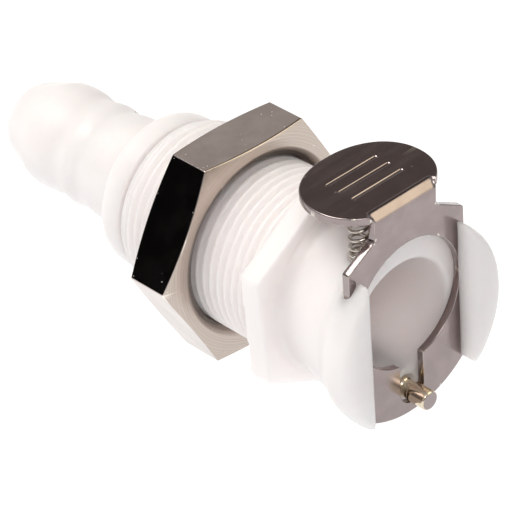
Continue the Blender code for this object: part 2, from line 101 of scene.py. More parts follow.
# %% Grid of points to mesh
def skin(name, points, around=True, along=False, caps=False):
    """Mesh from points[row, column]; quad (i, j) joins rows i, i+1 and columns j, j+1."""
    rows, cols = points.shape[:2]
    table = np.arange(rows * cols).reshape(rows, cols)
    if around:
        table = np.concatenate([table, table[:, :1]], axis=1)
    if along:
        table = np.concatenate([table, table[:1]], axis=0)
    quads = np.stack([table[:-1, :-1], table[:-1, 1:], table[1:, 1:], table[1:, :-1]], -1)
    faces = quads.reshape(-1, 4).tolist()
    verts = points.reshape(-1, 3)
    if caps:
        verts = np.concatenate([verts, points[:1].mean(axis=1), points[-1:].mean(axis=1)])
        for ring, hub in ((table[0], rows * cols), (table[-1], rows * cols + 1)):
            faces += np.stack([ring[:-1], ring[1:], np.full(len(ring) - 1, hub)], -1).tolist()
    mesh = bpy.data.meshes.new(name)
    mesh.from_pydata((verts * MM).tolist(), [], faces)
    return outward(name, mesh)


def outward(name, mesh):
    """Object from a closed mesh, with its doubles merged and its faces turned outwards."""
    work = bmesh.new()
    work.from_mesh(mesh)
    bmesh.ops.remove_doubles(work, verts=work.verts, dist=1e-7)
    bmesh.ops.recalc_face_normals(work, faces=work.faces)
    work.to_mesh(mesh)
    work.free()
    mesh.polygons.foreach_set("use_smooth", np.ones(len(mesh.polygons), bool))
    piece = bpy.data.objects.new(name, mesh)
    bpy.context.scene.collection.objects.link(piece)
    return piece


def finish_piece(piece, body, nodes, material):
    """Give a piece its finish, hang it on the body it rides on, and hide the CAD nodes it stands
    for.
    """
    piece.data.materials.clear()
    piece.data.materials.append(material)
    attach(piece, body)
    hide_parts(*nodes)
    triangles = sum(len(p.vertices) - 2 for p in piece.data.polygons)
    print(f"{piece.name}: {triangles} triangles, rides on {body}")
    return piece


# %% [markdown]
# Turned pieces start from a profile: distance along the axis and radius. Real edges are
# never knife sharp, so each corner of the profile gets a small arc before it is turned.


# %% Round a profile's corners
def rounded(profile, radius=0.15, steps=5, closed=False):
    """Polyline with each corner replaced by a curve (1-t)^2 A + 2t(1-t) P + t^2 B.

    A and B lie on the two sides at the corner's radius, or at 45% of a short side. A point
    may carry its own radius as a third number.
    """
    pts = np.array([p[:2] for p in profile], float)
    radii = [p[2] if len(p) > 2 else radius for p in profile]
    count = len(pts)
    t = np.linspace(0.0, 1.0, steps)[:, None]
    out = []
    for i, (p, r) in enumerate(zip(pts, radii)):
        if (not closed and i in (0, count - 1)) or r <= 0.0:
            out.append(p[None])
            continue
        to_last, to_next = pts[i - 1] - p, pts[(i + 1) % count] - p
        ends = []
        for side in (to_last, to_next):
            length = np.linalg.norm(side)
            ends.append(p + side / length * min(r, 0.45 * length))
        out.append((1 - t) ** 2 * ends[0] + 2 * t * (1 - t) * p + t**2 * ends[1])
    return np.concatenate(out)


def turned(name, profile, segments=128, ring=False, centre=(0.0, 0.0)):
    """Profile (y, r) turned about Y: x = cx + r sin a, z = cz + r cos a.

    ring joins the profile's last point to its first.
    """
    a = np.arange(segments) * TURN / segments
    y, r = profile[:, :1], profile[:, 1:]
    y, r, a = np.broadcast_arrays(y, r, a[None])
    grid = np.stack([centre[0] + r * np.sin(a), y, centre[1] + r * np.cos(a)], -1)
    return skin(name, grid, along=ring, caps=not ring)


print("a square corner becomes", len(rounded([(0, 0), (1, 0), (1, 1)])), "points")

# %% [markdown]
# The camera stands left of the mouth and above it, with a long lens, so the fitting shows
# almost no perspective. A small shift frames it.

# %% Camera
CAMERA_AT = (-0.16972, -0.18428, 0.17951)
CAMERA_RIGHT = Vector((0.7210, -0.6901, -0.0621)).normalized()
CAMERA_BACK = Vector((-0.5409, -0.6166, 0.5721)).normalized()
camera_up = CAMERA_BACK.cross(CAMERA_RIGHT)
lens = bpy.data.cameras.new("camera")
lens.sensor_width = 36.0
lens.lens = 211.76
lens.shift_x, lens.shift_y = -0.0093, -0.0280
lens.clip_start, lens.clip_end = 0.01, 10.0
camera = bpy.data.objects.new("camera", lens)
axes = Matrix((CAMERA_RIGHT, camera_up, CAMERA_BACK)).transposed()
camera.matrix_world = Matrix.Translation(CAMERA_AT) @ axes.to_4x4()
bpy.context.scene.collection.objects.link(camera)
bpy.context.scene.camera = camera
print("camera is", round(Vector(CAMERA_AT).length / MM), "mm from the origin")

# %% [markdown]
# Finishes share a few effects, so each effect is one node group with named sockets: soft
# clouding, stretched grain, and dust specks. A group only puts out colours, masks and
# heights. Each material keeps its own shader and sets its own constants on it.


# %% Small helpers for building node trees
def new_group(name, inputs, outputs):
    """Node group with named sockets; inputs are (name, kind, default)."""
    tree = bpy.data.node_groups.new(name, "ShaderNodeTree")
    for label, kind, default in inputs:
        made = tree.interface.new_socket(label, in_out="INPUT", socket_type=f"NodeSocket{kind}")
        if default is not None:
            made.default_value = default
    for label, kind in outputs:
        tree.interface.new_socket(label, in_out="OUTPUT", socket_type=f"NodeSocket{kind}")
    return tree, tree.nodes.new("NodeGroupInput"), tree.nodes.new("NodeGroupOutput")


def add(tree, kind, settings=None, **inputs):
    """Add a node, set its properties, and fill or link its inputs by name or number."""
    node = tree.nodes.new(kind)
    for key, value in (settings or {}).items():
        setattr(node, key, value)
    for key, value in inputs.items():
        spot = node.inputs[int(key[1:])] if key[0] == "_" else node.inputs[key.replace("_", " ")]
        if isinstance(value, bpy.types.NodeSocket):
            tree.links.new(value, spot)
        else:
            spot.default_value = value
    return node


def maths(tree, operation, a, b=0.0):
    """One Math node; the output of operation on a and b."""
    return add(tree, "ShaderNodeMath", {"operation": operation}, _0=a, _1=b).outputs[0]


def span(tree, value, low, high, to_low=0.0, to_high=1.0):
    """Map value from low..high smoothly to to_low..to_high."""
    settings = {"interpolation_type": "SMOOTHSTEP"}
    node = add(tree, "ShaderNodeMapRange", settings, Value=value, From_Min=low,
               From_Max=high, To_Min=to_low, To_Max=to_high)
    return node.outputs["Result"]


def blend_colour(tree, share, first, second):
    """Mix two colours by share."""
    node = add(tree, "ShaderNodeMix", {"data_type": "RGBA"}, _0=share, _6=first, _7=second)
    return node.outputs[2]


# %% Effect: soft clouding of a colour
clouding, start, end = new_group(
    "clouding",
    [("Vector", "Vector", None), ("Scale", "Float", 300.0), ("Light", "Color", (1, 1, 1, 1)),
     ("Dark", "Color", (0.8, 0.8, 0.8, 1))],
    [("Colour", "Color"), ("Mask", "Float")],
)
cloud = add(clouding, "ShaderNodeTexNoise", Vector=start.outputs["Vector"],
            Scale=start.outputs["Scale"], Detail=5.0, Roughness=0.55)
mask = span(clouding, cloud.outputs["Fac"], 0.35, 0.68)
tone = blend_colour(clouding, mask, start.outputs["Dark"], start.outputs["Light"])
clouding.links.new(tone, end.inputs["Colour"])
clouding.links.new(mask, end.inputs["Mask"])

# %% Effect: fine grain drawn out along one direction
grain, start, end = new_group(
    "drawn grain",
    [("Vector", "Vector", None), ("Stretch", "Vector", (1, 1, 1)), ("Scale", "Float", 4000.0)],
    [("Streak", "Float"), ("Broad", "Float")],
)
drawn = add(grain, "ShaderNodeVectorMath", {"operation": "MULTIPLY"},
            _0=start.outputs["Vector"], _1=start.outputs["Stretch"]).outputs[0]
fine = add(grain, "ShaderNodeTexNoise", Vector=drawn, Scale=start.outputs["Scale"],
           Detail=6.0, Roughness=0.7)
wide = add(grain, "ShaderNodeTexNoise", Vector=drawn,
           Scale=maths(grain, "MULTIPLY", start.outputs["Scale"], 0.16), Detail=3.0)
grain.links.new(span(grain, fine.outputs["Fac"], 0.3, 0.7), end.inputs["Streak"])
grain.links.new(span(grain, wide.outputs["Fac"], 0.35, 0.65), end.inputs["Broad"])

# %% Effect: scattered dust specks
specks, start, end = new_group(
    "specks",
    [("Vector", "Vector", None), ("Scale", "Float", 400.0), ("Size", "Float", 0.05),
     ("Share", "Float", 0.1)],
    [("Mask", "Float")],
)
cells = add(specks, "ShaderNodeTexVoronoi", Vector=start.outputs["Vector"],
            Scale=start.outputs["Scale"])
dot = maths(specks, "LESS_THAN", cells.outputs["Distance"], start.outputs["Size"])
pick = add(specks, "ShaderNodeSeparateColor", Color=cells.outputs["Color"]).outputs["Red"]
chosen = maths(specks, "LESS_THAN", pick, start.outputs["Share"])
specks.links.new(maths(specks, "MULTIPLY", dot, chosen), end.inputs["Mask"])

# %% Effect: painted highlight along sharp edges
highlight, start, end = new_group(
    "edge wear",
    [("Low", "Float", 0.52), ("High", "Float", 0.62)],
    [("Mask", "Float")],
)
# Pointiness marks sharp edges, where a painted highlight goes.
bent = highlight.nodes.new("ShaderNodeNewGeometry").outputs["Pointiness"]
reach = add(highlight, "ShaderNodeMapRange", Value=bent, From_Min=start.outputs["Low"],
            From_Max=start.outputs["High"])
highlight.links.new(reach.outputs["Result"], end.inputs["Mask"])
print("node groups:", [g.name for g in bpy.data.node_groups])


# %% Start a material
def new_material(name, **constants):
    """Material with its Principled shader's constants set; gives the tree and its parts."""
    made = bpy.data.materials.new(name)
    made.use_nodes = True
    tree = made.node_tree
    shader = tree.nodes["Principled BSDF"]
    for key, value in constants.items():
        shader.inputs[key.replace("_", " ")].default_value = value
    spot = tree.nodes.new("ShaderNodeTexCoord").outputs["Object"]
    return made, tree, shader, spot


def use(tree, group, **inputs):
    """Place a node group in a material."""
    return add(tree, "ShaderNodeGroup", {"node_tree": group}, **inputs)


def raise_surface(tree, shader, height, distance, strength):
    """Feed a height through a Bump node into the shader's normal."""
    bump = add(tree, "ShaderNodeBump", Height=height, Distance=distance, Strength=strength)
    tree.links.new(bump.outputs["Normal"], shader.inputs["Normal"])


# %% [markdown]
# Natural acetal is a slightly milky, waxy white. Light goes a millimetre or two into it,
# so it needs subsurface scattering, a satin skin, a trace of clouding and a speck of dust.

# %% Finish: natural white acetal
acetal, tree, shader, spot = new_material(
    "acetal_moulded", Subsurface_Weight=0.8, Subsurface_Radius=(1.0, 0.90, 0.86),
    Subsurface_Scale=0.006, IOR=1.48, Specular_IOR_Level=0.45)
milk = use(tree, clouding, Vector=spot, Scale=210.0, Light=(0.93, 0.867, 0.857, 1),
           Dark=(0.91, 0.843, 0.835, 1))
dust = use(tree, specks, Vector=spot, Scale=260.0, Size=0.05, Share=0.16)
skin_grain = use(tree, grain, Vector=spot, Scale=2600.0)
dusty = blend_colour(tree, dust.outputs["Mask"], milk.outputs["Colour"], (0.05, 0.04, 0.04, 1))
tree.links.new(dusty, shader.inputs["Base Color"])
satin = span(tree, skin_grain.outputs["Broad"], 0.0, 1.0, 0.30, 0.42)
tree.links.new(satin, shader.inputs["Roughness"])
raise_surface(tree, shader, skin_grain.outputs["Streak"], 0.000012, 0.35)

# %% [markdown]
# The latch plate is rolled stainless sheet. It is bright enough to mirror the pin, with
# fine rolling grain across it, light mottling, and a painted highlight along its sharp edges.

# %% Finish: rolled stainless sheet
sheet_steel, tree, shader, spot = new_material("steel_rolled", Metallic=1.0)
rolling = use(tree, grain, Vector=spot, Stretch=(0.12, 1.0, 1.0), Scale=5200.0)
mottle = use(tree, clouding, Vector=spot, Scale=420.0, Light=(0.34, 0.285, 0.28, 1),
             Dark=(0.30, 0.25, 0.248, 1))
# Sharp edges get a pale cream colour: a painted highlight along the plate's edges.
edge_highlight_mask = use(tree, highlight, Low=0.53, High=0.60)
streaked = blend_colour(tree, maths(tree, "MULTIPLY", rolling.outputs["Streak"], 0.12),
                        mottle.outputs["Colour"], (0.40, 0.345, 0.335, 1))
with_edge_highlight = blend_colour(tree, edge_highlight_mask.outputs["Mask"], streaked, (0.66, 0.62, 0.55, 1))
tree.links.new(with_edge_highlight, shader.inputs["Base Color"])
gloss = span(tree, rolling.outputs["Broad"], 0.0, 1.0, 0.13, 0.23)
tree.links.new(gloss, shader.inputs["Roughness"])
raise_surface(tree, shader, rolling.outputs["Streak"], 0.000004, 0.35)

# %% [markdown]
# The nut is brass with a warm nickel plate. Its flats are close to mirrors, with pits.
# Its faces keep the rings that the lathe tool left.

# %% Finish: nickel plate with turned faces
nickel, tree, shader, spot = new_material("nickel_plated", Metallic=1.0)
apart = add(tree, "ShaderNodeSeparateXYZ", Vector=spot)
flat_ring = add(tree, "ShaderNodeCombineXYZ", X=apart.outputs["X"], Z=apart.outputs["Z"])
radius = add(tree, "ShaderNodeVectorMath", {"operation": "LENGTH"}, _0=flat_ring.outputs[0])
radial = add(tree, "ShaderNodeCombineXYZ", X=radius.outputs["Value"])
facing = add(tree, "ShaderNodeSeparateXYZ",
             Vector=tree.nodes.new("ShaderNodeNewGeometry").outputs["True Normal"])
turned_face = span(tree, maths(tree, "ABSOLUTE", facing.outputs["Y"]), 0.5, 0.8)
rings = use(tree, grain, Vector=radial.outputs[0], Scale=9000.0)
plate_cloud = use(tree, clouding, Vector=spot, Scale=330.0, Light=(0.62, 0.55, 0.52, 1),
                  Dark=(0.54, 0.475, 0.445, 1))
# The faces' colour is darker than the flats': painted shade on the faces. The ring grain in it
# is real.
shaded_face_tone = blend_colour(tree, rings.outputs["Streak"], (0.42, 0.355, 0.31, 1),
                         (0.62, 0.54, 0.48, 1))
toned = blend_colour(tree, turned_face, plate_cloud.outputs["Colour"], shaded_face_tone)
pits = use(tree, specks, Vector=spot, Scale=1900.0, Size=0.10, Share=0.22)
pitted = blend_colour(tree, pits.outputs["Mask"], toned, (0.95, 0.93, 0.88, 1))
# Sharp edges get a pale colour: a painted highlight along the nut's edges and corners.
edge_highlight_mask = use(tree, highlight, Low=0.56, High=0.68)
with_edge_highlight = blend_colour(tree, edge_highlight_mask.outputs["Mask"], pitted, (0.93, 0.88, 0.80, 1))
tree.links.new(with_edge_highlight, shader.inputs["Base Color"])
flat_gloss = span(tree, plate_cloud.outputs["Mask"], 0.0, 1.0, 0.05, 0.10)
rough_pit = maths(tree, "MULTIPLY", pits.outputs["Mask"], 0.8)
with_pits = maths(tree, "MAXIMUM", flat_gloss, rough_pit)
both = add(tree, "ShaderNodeMix", _0=turned_face, _2=with_pits, _3=0.26)
tree.links.new(both.outputs[0], shader.inputs["Roughness"])
ring_height = maths(tree, "MULTIPLY", rings.outputs["Streak"], turned_face)
raise_surface(tree, shader, ring_height, 0.000006, 0.5)

# %% [markdown]
# The pin is a polished turned part and the springs are drawn wire. Both are bright, with
# dark bands where they mirror the room. The seals are matt black rubber.

# %% Finishes: polished pin, drawn wire, black rubber
pin_steel, tree, shader, spot = new_material("steel_polished", Metallic=1.0)
lathe_lines = use(tree, grain, Vector=spot, Stretch=(0.02, 1.0, 0.02), Scale=9000.0)
tone = blend_colour(tree, lathe_lines.outputs["Streak"], (0.66, 0.56, 0.42, 1),
                    (0.80, 0.70, 0.54, 1))
# Faces that look along the axis get a darker colour: painted shade on the pin's ends.
facing = add(tree, "ShaderNodeSeparateXYZ",
             Vector=tree.nodes.new("ShaderNodeNewGeometry").outputs["True Normal"])
nose = span(tree, maths(tree, "ABSOLUTE", facing.outputs["Y"]), 0.7, 0.9)
tree.links.new(blend_colour(tree, nose, tone, (0.34, 0.29, 0.285, 1)),
               shader.inputs["Base Color"])
tree.links.new(span(tree, lathe_lines.outputs["Broad"], 0.0, 1.0, 0.07, 0.15),
               shader.inputs["Roughness"])
raise_surface(tree, shader, lathe_lines.outputs["Streak"], 0.000002, 0.3)

wire, tree, shader, spot = new_material("steel_wire", Metallic=1.0)
draw_lines = use(tree, grain, Vector=spot, Scale=6000.0)
tone = blend_colour(tree, draw_lines.outputs["Broad"], (0.50, 0.45, 0.40, 1),
                    (0.72, 0.68, 0.62, 1))
tree.links.new(tone, shader.inputs["Base Color"])
tree.links.new(span(tree, draw_lines.outputs["Streak"], 0.0, 1.0, 0.14, 0.24),
               shader.inputs["Roughness"])

rubber, tree, shader, spot = new_material("nitrile_black", Specular_IOR_Level=0.4)
bloom = use(tree, clouding, Vector=spot, Scale=900.0, Light=(0.032, 0.032, 0.034, 1),
            Dark=(0.012, 0.012, 0.013, 1))
tree.links.new(bloom.outputs["Colour"], shader.inputs["Base Color"])
tree.links.new(span(tree, bloom.outputs["Mask"], 0.0, 1.0, 0.45, 0.62),
               shader.inputs["Roughness"])
print("finishes:", [m.name for m in (acetal, sheet_steel, nickel, pin_steel, wire, rubber)])

# %% [markdown]
# The thread is a true helix. Its radius depends on one number, the distance along the axis
# less a pitch for each turn, so the ridge climbs one pitch in a turn and meets itself.

# %% The thread's form
PITCH = 1.058
CREST = 9.525
ROOT = CREST - 0.55


def helix_ridge(y, a):
    """Height from 0 to 1 of a ridge at phase p = y/pitch - a/turn.

    A triangle wave 1 - |2 frac(p) - 1| is cut off at both ends, which leaves a flat crest
    and a flat root, and then smoothed by 3h^2 - 2h^3.
    """
    phase = y / PITCH - a / TURN
    wave = 1.0 - np.abs(2.0 * (phase % 1.0) - 1.0)
    height = np.clip((wave - 0.15) / 0.65, 0.0, 1.0)
    return height * height * (3.0 - 2.0 * height)


def ease(value, low, high):
    """Smooth step from 0 at low to 1 at high."""
    t = np.clip((value - low) / (high - low), 0.0, 1.0)
    return t * t * (3.0 - 2.0 * t)


# %% [markdown]
# The body's solid parts are turned or pushed-through shapes that are joined and cut with
# Booleans. A voxel remesh then melts its edges together, as a mould's radii do, and a few
# rounds of smoothing finish them. The crisp thread is joined on after that.
#
# The cuts are: a relief on the collar's top corner, so that the pressed tab clears it; the
# socket's bore; the mouth between the cheeks, whose inner edges roll back; the groove that
# the plate slides in; the pocket of the latch spring; the pin's hole through its boss; and
# a slanted corner off the low end of each cheek.

# %% Solid parts of the head
LIP_FRONT = body_low[1]
HEAD_R = 11.4
LIP_HALF = 6.82
THICK = 0.9
PRESS = 2.5
CLEAR = 0.3
PLATE_FRONT, PLATE_BACK = plate_low[1], plate_low[1] + THICK
PLATE_GAP = 0.15
GROOVE_FRONT, GROOVE_BACK = PLATE_FRONT - PLATE_GAP, PLATE_BACK + PLATE_GAP
GROOVE_HALF = plate_high[0] + PLATE_GAP
BORE_R = 6.5
MOUTH_BACK = -12.4
ROLL_START = PLATE_FRONT - 0.95
ROLL_WIDE, ROLL_LONG = 1.75, 1.42
RELIEF_HALF, RELIEF_FRONT, RELIEF_REAR = 4.0, -3.7, -1.0
RELIEF_Z = plate_high[2] - THICK - PRESS - CLEAR
BOSS_WALL, BOSS_FRONT, BOSS_REAR = 0.9, -10.9, -1.2
PIN_HOLE_END = -3.0
POCKET_R = 1.32
TIP_X, TIP_Z = 6.2, -7.0
FAR = 14.0
PIN_Z = 0.5 * (pin_low[2] + pin_high[2])
PIN_R = 0.5 * (pin_high[0] - pin_low[0])
print("groove for the plate:", GROOVE_FRONT.round(2), "to", GROOVE_BACK.round(2), "mm")

# %% Turn the outside of the head
head_profile = rounded([
    (LIP_FRONT, 0.0), (LIP_FRONT, HEAD_R - 1.2, 0.4), (LIP_FRONT + 0.2, HEAD_R - 0.6, 0.5),
    (LIP_FRONT + 0.75, HEAD_R - 0.1, 0.7), (LIP_FRONT + 2.0, HEAD_R + 0.02, 0.9),
    (LIP_FRONT + 3.4, HEAD_R - 0.2, 0.9), (LIP_FRONT + 4.3, HEAD_R - 0.72, 0.7),
    (LIP_FRONT + 4.95, 10.25, 0.7), (-8.2, 9.8, 1.2), (-5.9, 9.2, 1.2), (-4.4, 8.9, 0.9),
    (-3.55, 8.95, 0.5), (-2.95, 9.5, 0.4), (-1.35, 9.9, 0.4), (-0.6, 9.2, 0.1),
    (0.6, 9.0, 0.1), (0.6, 0.0)], steps=6)
head = turned("coupling_body_detail", head_profile, 192)
print("head's profile:", len(head_profile), "points")


# %% Helpers that push, join and cut shapes
def pushed(name, outline, low, high, axis):
    """Closed outline (p, q) pushed along an axis from low to high."""
    outline = np.asarray(outline, float)
    rows = []
    for level in (low, high):
        flat = np.full(len(outline), level)
        p, q = outline[:, 0], outline[:, 1]
        order = {"X": (flat, p, q), "Y": (p, flat, q), "Z": (p, q, flat)}[axis]
        rows.append(np.stack(order, -1))
    return skin(name, np.stack(rows), caps=True)


def collar(front=-2.7, rear=0.0, across=21.8, lean=np.radians(-2.5)):
    """Hexagon, one corner up and a little to the left: corners lie at lean + k 60 degrees."""
    a = lean + np.arange(6) * TURN / 6
    r = across / np.sqrt(3.0)
    return pushed("collar_tool", np.stack([r * np.sin(a), r * np.cos(a)], -1), front, rear, "Y")


def combine(piece, tool, operation):
    """Exact Boolean of two closed shells; the tool is used up."""
    change = piece.modifiers.new(operation, "BOOLEAN")
    change.operation, change.solver, change.object = operation, "MANIFOLD", tool
    settle(piece)
    bpy.data.objects.remove(tool, do_unlink=True)


def settle(piece):
    """Fix a piece's modifiers into its mesh."""
    bpy.context.view_layer.update()
    ready = piece.evaluated_get(bpy.context.evaluated_depsgraph_get())
    mesh = bpy.data.meshes.new_from_object(ready)
    piece.modifiers.clear()
    piece.data = mesh
    mesh.polygons.foreach_set("use_smooth", np.ones(len(mesh.polygons), bool))


# %% Outlines of the mouth and the groove
angle = np.linspace(0.0, np.pi / 2, 12)
round_x = LIP_HALF + ROLL_WIDE * (1 - np.cos(angle))
round_y = ROLL_START - ROLL_LONG * np.sin(angle)
half_mouth = [(LIP_HALF, MOUTH_BACK), *zip(round_x, round_y), (round_x[-1], LIP_FRONT - 1.0)]
mouth = half_mouth + [(-x, y) for x, y in reversed(half_mouth)]
groove = [(-GROOVE_HALF, GROOVE_FRONT), (GROOVE_HALF, GROOVE_FRONT), (GROOVE_HALF, GROOVE_BACK),
          (-GROOVE_HALF, GROOVE_BACK)]
print("mouth:", len(mouth), "outline points")

# %% Join the collar and the boss, and make the cuts
combine(head, collar(), "UNION")
relief = [(-RELIEF_HALF, RELIEF_FRONT), (RELIEF_HALF, RELIEF_FRONT),
          (RELIEF_HALF, RELIEF_REAR), (-RELIEF_HALF, RELIEF_REAR)]
combine(head, pushed("relief_tool", relief, RELIEF_Z, FAR, "Z"), "DIFFERENCE")
boss = np.array([(BOSS_FRONT, PIN_R + BOSS_WALL), (BOSS_REAR, PIN_R + BOSS_WALL)])
combine(head, turned("boss_tool", boss, 48, centre=(0.0, PIN_Z)), "UNION")
bore = np.array([(LIP_FRONT - 1, BORE_R + CLEAR), (GROOVE_BACK, BORE_R + CLEAR),
                 (GROOVE_BACK + 0.45, BORE_R), (1.0, BORE_R)])
combine(head, turned("bore_tool", bore, 192), "DIFFERENCE")
combine(head, pushed("mouth_tool", mouth, -FAR, FAR, "Z"), "DIFFERENCE")
combine(head, pushed("groove_tool", groove, -FAR, FAR, "Z"), "DIFFERENCE")
coil_low, coil_high = box_mm("latch_spring")
pocket_at = 0.5 * (coil_low + coil_high)[:2]
t = np.arange(40) * TURN / 40
pocket_ring = pocket_at + POCKET_R * np.stack([np.cos(t), np.sin(t)], -1)
combine(head, pushed("pocket_tool", pocket_ring, coil_low[2] - 0.1, FAR, "Z"), "DIFFERENCE")
pin_hole = np.array([(GROOVE_FRONT, PIN_R + CLEAR), (PIN_HOLE_END, PIN_R + CLEAR)])
combine(head, turned("pin_hole_tool", pin_hole, 40, centre=(0.0, PIN_Z)), "DIFFERENCE")
for side in (-1, 1):
    tip = [(side * TIP_X, TIP_Z), (side * (TIP_X + HEAD_R), TIP_Z - HEAD_R),
           (side * TIP_X, TIP_Z - HEAD_R)]
    combine(head, pushed("tip_tool", tip[::side], LIP_FRONT - 1.0, GROOVE_FRONT, "Y"),
            "DIFFERENCE")
print("head before melting:", len(head.data.polygons), "faces")

# %% Melt the edges
melt = head.modifiers.new("melt", "REMESH")
melt.mode, melt.voxel_size = "VOXEL", 0.20 * MM
soften = head.modifiers.new("soften", "SMOOTH")
soften.factor, soften.iterations = 0.5, 6
settle(head)
print("head after melting:", len(head.data.polygons), "faces")

# %% The threaded sleeve
REAR = body_high[1]
SLEEVE_R = ROOT - 0.35
SPIGOT_BORE_R, SPIGOT_STOP = 6.2, 7.0
SEAT_R, SOCKET_FLOOR = 4.0, 5.0
rows = np.linspace(-0.25, REAR - 0.35, 222)
columns = np.arange(120) * TURN / 120
y, a = np.meshgrid(rows, columns, indexing="ij")
fade = ease(y, 0.15, 1.0) * (1.0 - ease(y, REAR - 1.4, REAR - 0.5))
r = ROOT + (CREST - ROOT) * helix_ridge(y, a) * fade
outer = np.stack([r * np.sin(a), y, r * np.cos(a)], -1)
inner_profile = np.array([(REAR, SLEEVE_R), (REAR, SPIGOT_BORE_R),
                          (SPIGOT_STOP, SPIGOT_BORE_R), (SPIGOT_STOP, SEAT_R),
                          (SOCKET_FLOOR, SEAT_R), (SOCKET_FLOOR, BORE_R), (0.4, BORE_R),
                          (-0.25, BORE_R - 0.002)])
inner = np.stack([inner_profile[:, 1:] * np.sin(columns), inner_profile[:, :1] + 0 * columns,
                  inner_profile[:, 1:] * np.cos(columns)], -1)
sleeve = skin("sleeve_tool", np.concatenate([outer, inner]), along=True)
combine(head, sleeve, "UNION")
finish_piece(head, "housing", ["coupling_body"], acetal)

# %% [markdown]
# The hose barb is a turned profile: a stem, a narrow crest and a broad one that grip the
# hose, and a nose that narrows like a bullet so that the hose starts easily.

# %% Hose barb
HUB_FRONT = REAR + 0.3
SPIGOT_FRONT = hub_low[1]
BARB_END = hub_high[1]
PASSAGE_R = 3.2
CREST_R, VALLEY_R = 6.08, 5.62
barb = [(SPIGOT_FRONT, PASSAGE_R), (SPIGOT_FRONT, 5.9, 0.3), (SPIGOT_FRONT + 0.9, 5.9, 0.1),
        (SPIGOT_FRONT + 0.9, 4.6, 0.1), (SPIGOT_FRONT + 2.5, 4.6, 0.1),
        (SPIGOT_FRONT + 2.5, 5.9, 0.1), (HUB_FRONT, 5.9, 0.1), (HUB_FRONT, 8.9, 0.3),
        (24.0, 8.86, 0.8), (24.9, 8.25, 0.7), (25.7, 6.9, 0.7), (26.4, CREST_R + 0.1, 0.6),
        (BARB_END - 15.3, CREST_R, 1.0), (BARB_END - 13.2, VALLEY_R, 0.9),
        (BARB_END - 11.8, CREST_R + 0.04, 0.7), (BARB_END - 9.3, VALLEY_R, 1.4),
        (BARB_END - 7.5, CREST_R, 0.9), (BARB_END - 5.2, CREST_R + 0.06, 0.9),
        (BARB_END - 3.0, 5.3, 1.0), (BARB_END - 0.6, 4.45, 0.5), (BARB_END, 4.05, 0.25),
        (BARB_END, PASSAGE_R + 0.1, 0.15), (BARB_END - 0.5, PASSAGE_R, 0.2)]
adapter = turned("hose_barb_detail", rounded(barb, 0.2, 6, closed=True), 160, ring=True)
finish_piece(adapter, "housing", ["hose_barb_adapter"], acetal)

# %% [markdown]
# The nut is one closed grid too: a section (distance along the axis and radius) at each
# angle. The radius of its side is that of a hexagon with filleted corners, and both faces
# carry the shallow cone that takes the corners down, which bows the edges of the flats.

# %% Panel nut
AF = 23.81
NUT_TURN = np.radians(1.2)
FILLET = 0.22
NUT_FRONT, NUT_REAR = nut_low[1], nut_high[1]
FACE_R = 0.5 * AF - 0.2
NUT_CORNER = np.radians(60.0)
NUT_BORE_R, NUT_THREAD_DEEP = 9.66, 0.42
CHAMFER_R = 10.74
CONE_ANGLE = np.radians(15.0)


# %% The nut's side, all the way round
def nut_angles():
    """Angles from a flat's middle, close together at the fillets, all the way round."""
    edge = np.pi / 6
    reach = FILLET * np.tan(np.pi / 6) / (0.5 * AF) * 0.75
    flat = np.linspace(-1, 1, 15) * (edge - 1.9 * reach)
    near = edge - reach * np.array([1.35, 1.0, 0.8, 0.6, 0.4, 0.2])
    one = np.concatenate([flat, near, [edge], 2 * edge - near[::-1]])
    return np.sort(np.concatenate([one + NUT_CORNER * k for k in range(6)]) % TURN)


def nut_side(a):
    """Radius of a hexagon with corner fillets of radius f, flats AF apart.

    Along a flat r = AF/2 / cos b. Within the fillet r is the far hit of the ray on a circle
    of radius f, whose centre lies (AF/2 - f) / cos 30 out along the corner.
    """
    b = np.abs((a + np.pi / 6) % NUT_CORNER - np.pi / 6)
    flat = 0.5 * AF / np.cos(b)
    centre = (0.5 * AF - FILLET) / np.cos(np.pi / 6)
    off = np.pi / 6 - b
    inside = np.maximum(FILLET**2 - (centre * np.sin(off)) ** 2, 0.0)
    arc = centre * np.cos(off) + np.sqrt(inside)
    touch = (0.5 * AF - FILLET) * np.tan(np.pi / 6)
    return np.where(0.5 * AF * np.tan(b) > touch, np.minimum(arc, flat), flat)


# %% The nut's section, from bore to side
def corner_curve(before, corner, after, steps=5):
    """Rounded corner between two sections that both depend on angle."""
    t = np.linspace(0.0, 1.0, steps)[:, None, None]
    return (1 - t) ** 2 * before + 2 * t * (1 - t) * corner + t**2 * after


a = nut_angles()
side = nut_side(a)
slope = np.tan(CONE_ANGLE)
bore_y = np.linspace(NUT_FRONT + 0.75, NUT_REAR - 0.75, 46)
bore_r = NUT_BORE_R + NUT_THREAD_DEEP * (1 - helix_ridge(bore_y[:, None], a[None]))
bore_rows = np.stack([bore_y[:, None] + 0 * a, bore_r], -1)


def here(y, r):
    """Section point (y, r) at every angle."""
    return np.stack([y + 0 * a, r + 0 * a], -1)


def nut_face(level, inward):
    """Rows of one face, from the bore's chamfer out over the face and cone to the side."""
    edge_y = level + inward * (side - FACE_R) * slope
    rows = [here(level + inward * 0.58, 9.75)[None],
            corner_curve(here(level + inward * 0.06, CHAMFER_R - 0.12),
                         here(level, CHAMFER_R), here(level, CHAMFER_R + 0.12), 4),
            here(level, 11.0)[None], here(level, 11.3)[None],
            corner_curve(here(level, FACE_R - 0.09), here(level, FACE_R),
                         here(level + inward * 0.045 * slope, FACE_R + 0.045), 3),
            corner_curve(np.stack([edge_y - inward * 0.075 * slope, side - 0.075], -1),
                         np.stack([edge_y, side], -1),
                         np.stack([edge_y + inward * 0.09, side], -1), 5),
            np.stack([edge_y + inward * 0.25, side], -1)[None]]
    return np.concatenate(rows)


